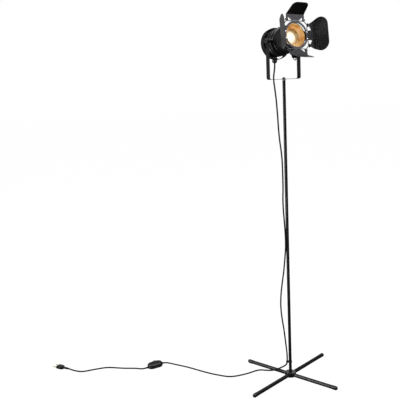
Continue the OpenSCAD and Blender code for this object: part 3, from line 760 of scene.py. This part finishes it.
BOSS_X = 68.4
BOSS_R = 7
KNOB_X = 71.3
KNOB_R = 10
KNOB_H = 10
KNOB_BORE = 3.05
FLUTES, FLUTE_DEPTH = 12, 0.9


def make_pivots():
    """Bosses on the can's sides, and the knobs that clamp the yoke to them."""
    bosses = bmesh.new()
    for side in (-1, 1):
        turned(bosses, [(0, 44), (10.5, 44), (8.2, 50), (BOSS_R, 53), (BOSS_R, BOSS_X),
                        (0, BOSS_X)],
               [0.5, 2, 2, 0.6], HEAD @ turn(side * 90, "Y"), 48)
    make_piece("pivot_bosses", bosses, PAINT, "black_paint", "head")

    def grip(a, r, z):
        return r - FLUTE_DEPTH * max(0, math.cos(FLUTES * a)) ** 2 if r > 8 else r

    top = KNOB_X + KNOB_H
    for side, name in ((-1, "knob_left"), (1, "knob_right")):
        bm = bmesh.new()
        turned(bm, [(0, top - 2), (KNOB_BORE, top - 2), (KNOB_BORE, KNOB_X), (KNOB_R - 2.5, KNOB_X),
                    (KNOB_R, KNOB_X + 1.6), (KNOB_R, top - 1.6), (KNOB_R - 2.5, top), (4.5, top),
                    (4, top - 0.8), (0, top - 0.8)],
               [0.2, 0.3, 0.4, 0.6, 1, 1.2, 0.3, 0.3], HEAD @ turn(side * 90, "Y"), 144, grip)
        make_piece(name, bm, PLASTIC, "black_plastic", name)


GLAND_R = 9.5
GLAND_END = 72


def make_gland():
    """Cable gland under the rear cap: a fluted nut with a round nose."""
    place = HEAD @ turn(-GLAND_ANGLE, "Z") @ shift(0, 0, GLAND_S) @ turn(90, "X")

    def flats(a, r, z):
        return r - 0.35 * max(0, math.cos(8 * a)) if r > 9.2 and z > 61 else r

    bm = bmesh.new()
    turned(bm, [(0, 49.5), (5, 49.5), (5, 57.4), (GLAND_R, 57.8), (GLAND_R, 60.8), (9.2, 61.2),
                (GLAND_R, 61.6), (GLAND_R, 68.5), (5.4, GLAND_END), (3.5, GLAND_END),
                (3.4, GLAND_END - 1), (0, GLAND_END - 1)],
           [0.3, 0, 0.4, 0.15, 0.15, 0.15, 1.2, 0.8, 0.2, 0], place, 96, flats)
    make_piece("gland", bm, PLASTIC, "black_plastic", "head")


make_can()
make_rear_cap()
make_reflector()
make_lamp()
make_pivots()
make_gland()


# ---- door frame and doors ----

FRAME_S = 84
# The frame sits slightly turned on the can
FRAME_TURN = -2.2
FRAME_HALF = 52
FRAME_HOLE = 43.5
FRAME_T = 1.2
RING_R = 51.5
CORNER_CUT = 12
STRIP = 3
FRAME_SCREW_X, FRAME_SCREW_Y, FRAME_SCREW_R = 47.6, 12, 1.6
HINGE_X = 37.5
BARREL_R = 2.3
PIN_R = 1.25
FRAME_BARREL = 5
DOOR_BARREL = 3.6
BARREL_STEP = 4.4
DOOR_T = 1.2
# Heights in a door's flat pattern, from the pin
BAND_ROOT = 2.9
BAND_EDGE = -1.8
BAND = 20.2
LEAF, SHORT_LEAF = 60, 54.5
FOLD = 51.5
FOLD_R = 2
EYE_X = 23
EYE_DROP = 23
EYE_R, EYE_HOLE = 7, 3.5
EYE_GAP = 0.8
# Forward lean of each door's band
LEANS = {"top": 6, "left": 19, "bottom": 17, "right": 13}


def bevelled_square(half, cut_off):
    k = half - cut_off
    return [(half, -k), (half, k), (k, half), (-k, half),
            (-half, k), (-half, -k), (-k, -half), (k, -half)]


def corner_window(quarter):
    """The gap between the frame's ring and its bevelled corner."""
    half = FRAME_HALF - STRIP
    k = half - CORNER_CUT + 1.2
    meet = math.degrees(math.acos(half / RING_R))
    outline = [(half, k), (k, half), *arc(0, 0, RING_R, 90 - meet, meet, 16)]
    spin = Matrix.Rotation(math.radians(90 * quarter), 2)
    return [spin @ Vector(p) for p in outline]


def knuckle(bm, place, x, size):
    """A hinge barrel round the pin."""
    hollow(bm, place @ turn(90, "Y"), PIN_R, BARREL_R, x - size / 2, x + size / 2, 0.3, 32)


def make_door_frame():
    bm = bmesh.new()
    screws = [circle(x * FRAME_SCREW_X, y * FRAME_SCREW_Y, FRAME_SCREW_R, 16)
              for x in (-1, 1) for y in (-1, 1)]
    sheet_metal(bm, bevelled_square(FRAME_HALF, CORNER_CUT),
                [circle(0, 0, FRAME_HOLE, 128), *(corner_window(q) for q in range(4)), *screws],
                FRAME_T, HEAD @ turn(FRAME_TURN, "Z") @ shift(0, 0, FRAME_S))
    for side in SIDES:
        place = door_place(side)
        for x in (-HINGE_X, HINGE_X):
            knuckle(bm, place, x, FRAME_BARREL)
            block(bm, (x - FRAME_BARREL / 2, -3.5, -FRAME_T / 2),
                  (x + FRAME_BARREL / 2, -1.6, FRAME_T / 2), place, 0.2)
    make_piece("door_frame", bm, DOOR_PAINT, "black_paint", "head", sharp=20)


def door_outline(right, radii):
    """A door's flat pattern from its right half, which runs from the root to the far end."""
    left = [(-x, y) for x, y in reversed(right)]
    return rounded([*right, *left], [*radii, *reversed(radii)], 8)


# Each pattern's right half has the notch in the root, the band, then the leaf
NARROW = door_outline([(17.2, BAND_EDGE), (29, 8), (31, 8), (31, BAND_ROOT), (41, BAND_ROOT),
                       (39.5, BAND), (33.5, BAND + SHORT_LEAF)], [0.3, 0.4, 0.4, 0.2, 0.8, 0, 18])
WIDE = door_outline([(17, BAND_EDGE), (19, 12), (33, 5), (33, BAND_ROOT), (41, BAND_ROOT),
                     (51, BAND), (76.8, BAND + LEAF)], [0.3, 0.8, 0.4, 0.2, 0.8, 0, 30])


def make_door(side, outline):
    """Folded sheet with its knuckles. Returns the place of its band."""
    place = door_place(side) @ turn(LEANS[side], "X")
    fold_at = BAND - FOLD_R * math.tan(math.radians(FOLD / 2))
    bm = bmesh.new()
    sheet_metal(bm, outline, [], DOOR_T, place, [(fold_at, FOLD_R, FOLD)])
    for x in (-HINGE_X, HINGE_X):
        for step in (-BARREL_STEP, BARREL_STEP):
            knuckle(bm, place, x + step, DOOR_BARREL)
            low = x + step - DOOR_BARREL / 2
            block(bm, (low, 1.6, -DOOR_T / 2), (low + DOOR_BARREL, BAND_ROOT + 1, DOOR_T / 2),
                  place, 0.2)
    make_piece(f"door_{side}", bm, DOOR_PAINT, "black_paint", f"door_{side}", sharp=20)
    return place


def make_eye(place):
    """Ring eye fixed behind the bottom door's band."""
    outline = [(-10.2, 0), (10.2, 0), (11, 0.8), (11, 19), (10, 20),
               *arc(0, EYE_DROP, EYE_R, -25, 205, 28), (-10, 20), (-11, 19), (-11, 0.8)]
    bm = bmesh.new()
    here = place @ shift(EYE_X, BAND - 7, 0)
    behind = -EYE_GAP - DOOR_T / 2
    sheet_metal(bm, outline, [circle(0, EYE_DROP, EYE_HOLE)], DOOR_T, here @ shift(0, 0, behind))
    block(bm, (-11, 0, behind), (11, 6, -DOOR_T / 2), here, 0.1)
    make_piece("door_eye", bm, PLASTIC, "black_plastic", "door_bottom")


make_door_frame()
make_door("top", NARROW)
make_door("left", WIDE)
make_door("right", WIDE)
make_eye(make_door("bottom", NARROW))


# ---- foot switch ----

SWITCH = ROOM @ shift(-563, 149, 0) @ turn(32, "Z")
SWITCH_LEN, SWITCH_W = 68, 40
SWITCH_SPLIT, SWITCH_TOP = 8, 20
SWITCH_CORD_Z = 6
# Inset and height of each level of the switch's two shells, going up their outsides
BASE_LEVELS = ((3, 0), (1.2, 0.3), (0.4, 1.2), (0, 3), (0, 7.4), (0.4, 7.9), (2, SWITCH_SPLIT),
               (2.2, 2.2))
TOP_LEVELS = ((0.4, 8.1), (0, 8.6), (0, 11.5), (0.5, 14.2), (1.6, 16.5), (3.2, 18.2),
              (5.0, 19.3), (6.6, 19.8))
BUTTON_R = 11
BUTTON_LOW, BUTTON_RIM, BUTTON_TOP = 14, 23, 26
RELIEF_R, RELIEF_START, RELIEF_END = 4.2, 28, 43
SWITCH_SIDES = 96


def stadium(inset, z):
    """A level of the switch's round-ended body."""
    r = SWITCH_W / 2 - inset
    straight = (SWITCH_LEN - SWITCH_W) / 2
    turns = [2 * math.pi * (k + 0.5) / SWITCH_SIDES for k in range(SWITCH_SIDES)]
    return [(r * math.cos(a) + math.copysign(straight, math.cos(a)), r * math.sin(a), z)
            for a in turns]


def well(r, z):
    """A level of the round hole for the button."""
    turns = [2 * math.pi * (k + 0.5) / SWITCH_SIDES for k in range(SWITCH_SIDES)]
    return [(r * math.cos(a), r * math.sin(a), z) for a in turns]


def make_switch():
    base = bmesh.new()
    loft(base, [stadium(*level) for level in BASE_LEVELS], SWITCH)
    top = bmesh.new()
    hole = ((BUTTON_R + 1.4, SWITCH_TOP), (BUTTON_R + 0.6, SWITCH_TOP - 0.3), (BUTTON_R + 0.4, 16))
    under = ((5, 13), (2.4, SWITCH_SPLIT + 0.2))
    loft(top, [*(stadium(*level) for level in TOP_LEVELS), *(well(*level) for level in hole),
               *(stadium(*level) for level in under)], SWITCH, "loop")
    button = bmesh.new()
    rise = BUTTON_TOP - BUTTON_RIM
    dome = [(p.x, BUTTON_RIM + p.y * rise / BUTTON_R) for p in arc(0, 0, BUTTON_R, 0, 84, 14)]
    lathe(button, [(0, BUTTON_LOW), (BUTTON_R, BUTTON_LOW), *dome, (0, BUTTON_TOP)],
          SWITCH, SWITCH_SIDES)
    reliefs = bmesh.new()
    for side in (-1, 1):
        corners = [(0, RELIEF_START), (RELIEF_R, RELIEF_START), (RELIEF_R, 34.6)]
        radii = [0.2, 0.2]
        for k in range(3):
            r, z = 4.1 - k * 0.25, 35 + k * 2.7
            corners += [(3.3, z), (3.3, z + 0.8), (r, z + 1), (r, z + 2.5)]
            radii += [0.1, 0.1, 0.15, 0.15]
        place = SWITCH @ shift(0, 0, SWITCH_CORD_Z) @ turn(side * 90, "Y")
        turned(reliefs, [*corners, (0, RELIEF_END)], radii, place, 32)
    return [make_piece("switch_base", base, SWITCH_PLASTIC, "black_plastic", "stand"),
            make_piece("switch_top", top, SWITCH_PLASTIC, "black_plastic", "stand"),
            make_piece("switch_button", button, PLASTIC, "black_plastic", "switch_button"),
            make_piece("switch_reliefs", reliefs, RUBBER, "black_plastic", "stand")]


# ---- plug ----

PLUG = ROOM @ shift(*TAIL_ROUTE[-1]) @ turn(150, "Z") @ turn(90, "Y")
PLUG_RELIEF = 26
PLUG_LEN = 34
# Height, half width and half thickness of each level of its body
PLUG_LEVELS = ((0, 5.2, 4.6), (0.6, 6.2, 5.6), (2, 7, 6.2), (5, 9.6, 6.8), (8, 12, 7), (11, 13, 7),
               (30, 13, 7), (33, 12.7, 6.7), (33.8, 12, 6.1), (PLUG_LEN, 11, 5))
PIN_Y, PLUG_PIN_R, PLUG_PIN_LEN = 9.3, 2, 19


def plug_level(z, half_w, half_h, count=64):
    """A level of the plug's body: a rounded rectangle, wider across than up."""
    out = []
    for k in range(count):
        a = 2 * math.pi * k / count
        c, s = math.cos(a), math.sin(a)
        out.append((half_h * math.copysign(abs(c) ** 0.5, c),
                    half_w * math.copysign(abs(s) ** 0.5, s), PLUG_RELIEF + z))
    return out


def make_plug():
    relief = bmesh.new()
    corners, radii = [(0, 0.2), (3.5, 0.2)], [0.3]
    for k in range(6):
        r, z = 3.8 + k * 0.2, 1.8 + k * 3.8
        corners += [(r, z), (r - 0.6, z + 0.2), (r - 0.6, z + 1.4), (r + 0.15, z + 1.6)]
        radii += [0.1, 0.1, 0.1, 0.1]
    turned(relief, [*corners, (5, PLUG_RELIEF), (0, PLUG_RELIEF)], [*radii, 0], PLUG, 40)
    body = bmesh.new()
    loft(body, [plug_level(*level) for level in PLUG_LEVELS], PLUG)
    pins = bmesh.new()
    for side in (-1, 1):
        place = PLUG @ shift(0, side * PIN_Y, PLUG_RELIEF + PLUG_LEN)
        nose = [(p.x, PLUG_PIN_LEN - PLUG_PIN_R + p.y) for p in arc(0, 0, PLUG_PIN_R, 0, 80, 6)]
        lathe(pins, [(0, 0), (PLUG_PIN_R, 0), *nose, (0, PLUG_PIN_LEN)], place, 32)
    return [make_piece("plug_body", body, PLASTIC, "black_plastic", "stand"),
            make_piece("plug_relief", relief, RUBBER, "black_plastic", "stand"),
            make_piece("plug_pins", pins, BRASS, "brass", "stand")]


switch_pieces = make_switch()
plug_pieces = make_plug()


# ---- fittings that keep their CAD shape ----

def dress(material, *names):
    """Gives CAD nodes a finish and softened edges."""
    for name in names:
        node = frame["nodes"][name]
        node.data.materials.clear()
        node.data.materials.append(material)
        node.modifiers.new("join", "WELD").merge_threshold = 1e-5
        soft = node.modifiers.new("soft", "BEVEL")
        soft.width = 0.25 * MM
        soft.segments = 2
        soft.limit_method = "ANGLE"
        soft.angle_limit = math.radians(40)


dress(STEEL, "hub_bolt", "leg_inserts", "leg_studs", "pole_foot_plug", "pole_couplers",
      "pole_top_plug", "swivel_washer", "cap_screws", "holder_bracket", "gland_nut", "frame_screws",
      "hinge_pins", "bulb_pins", "switch_spring", "pivot_studs")
dress(NYLON, "friction_washer")
dress(PLASTIC, "pivot_washers")
dress(CERAMIC, "lampholder")
dress(TERMINAL, "terminal_block")
dress(WIRE, "inner_wires")
dress(BRASS, "frame_brackets")


# ---- floor, light and world ----

def make_floor():
    look = Look("floor", (0.93, 0.93, 0.93), 0.85)
    look.set("Specular IOR Level", 0.1)
    look.to("Base Color", look.ramp(look.noise(300, 3), (0.3, 0.05), (0.7, 0.06)))
    look.set("Emission Color", (1, 1, 1, 1))
    look.set("Emission Strength", 0.99)
    bm = bmesh.new()
    bmesh.ops.create_grid(bm, x_segments=1, y_segments=1, size=30)
    mesh = bpy.data.meshes.new("floor")
    bm.to_mesh(mesh)
    bm.free()
    mesh.materials.append(look.material)
    floor = bpy.data.objects.new("floor", mesh)
    bpy.context.scene.collection.objects.link(floor)
    # The white floor lights nothing, so the black parts stay black
    floor.visible_diffuse = False
    floor.visible_glossy = False


def add_light(name, shape, size, power, color, position, towards):
    """An area light at a point, which shines in a direction."""
    data = bpy.data.lights.new(name, "AREA")
    data.shape = shape
    data.size, data.size_y = size
    data.energy = power
    data.color = color
    light = bpy.data.objects.new(name, data)
    bpy.context.scene.collection.objects.link(light)
    facing = (-towards).to_track_quat("Z", "Y").to_matrix().to_4x4()
    light.matrix_world = Matrix.Translation(position) @ facing
    return light


def softbox(name, position, size, power, color=(1, 1, 1)):
    """A studio light that faces the lamp, out of the picture."""
    aim = Vector((0, 0, 0.9))
    light = add_light(name, "RECTANGLE", size, power, color, position, aim - Vector(position))
    light.visible_camera = False


def make_world(seen, ambient):
    """White behind the lamp, and a dimmer soft light from all round."""
    world = bpy.data.worlds.new("world")
    world.use_nodes = True
    nodes, links = world.node_tree.nodes, world.node_tree.links
    path = nodes.new("ShaderNodeLightPath")
    level = nodes.new("ShaderNodeMapRange")
    level.inputs["To Min"].default_value = ambient
    level.inputs["To Max"].default_value = seen
    links.new(path.outputs["Is Camera Ray"], level.inputs["Value"])
    links.new(level.outputs["Result"], nodes["Background"].inputs["Strength"])
    nodes["Background"].inputs["Color"].default_value = (1, 1, 1, 1)
    bpy.context.scene.world = world


make_floor()
make_world(seen=1.0, ambient=0.035)
softbox("overhead", (0.3, -0.3, 3.2), (1.8, 1.8), 65)
softbox("left", (-3.0, -0.6, 1.7), (0.8, 2.2), 40)
softbox("back card", (-2.4, 3.9, 1.7), (2.6, 1.6), 9)
softbox("behind", (0.5, 3.8, 1.9), (1.0, 0.8), 8)
softbox("low left", (-0.9, -0.4, 0.6), (0.9, 0.6), 9)
softbox("right", (2.2, -1.0, 2.15), (1.2, 1.2), 30, (0.94, 0.92, 1.0))
# The light that leaves the lamp moves with the head. No reflection shows it, or it would leave
# bright specks on the black doors
lamp_light = add_light("lamp_light", "DISK", (2 * LENS_R * MM, 1), 0.1, (1.0, 0.85, 0.6),
                       HEAD @ Vector((0, 0, LENS_Z + 1)), FORWARD)
lamp_light.visible_glossy = False
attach(lamp_light, "head")
bpy.context.scene.view_settings.view_transform = "Standard"
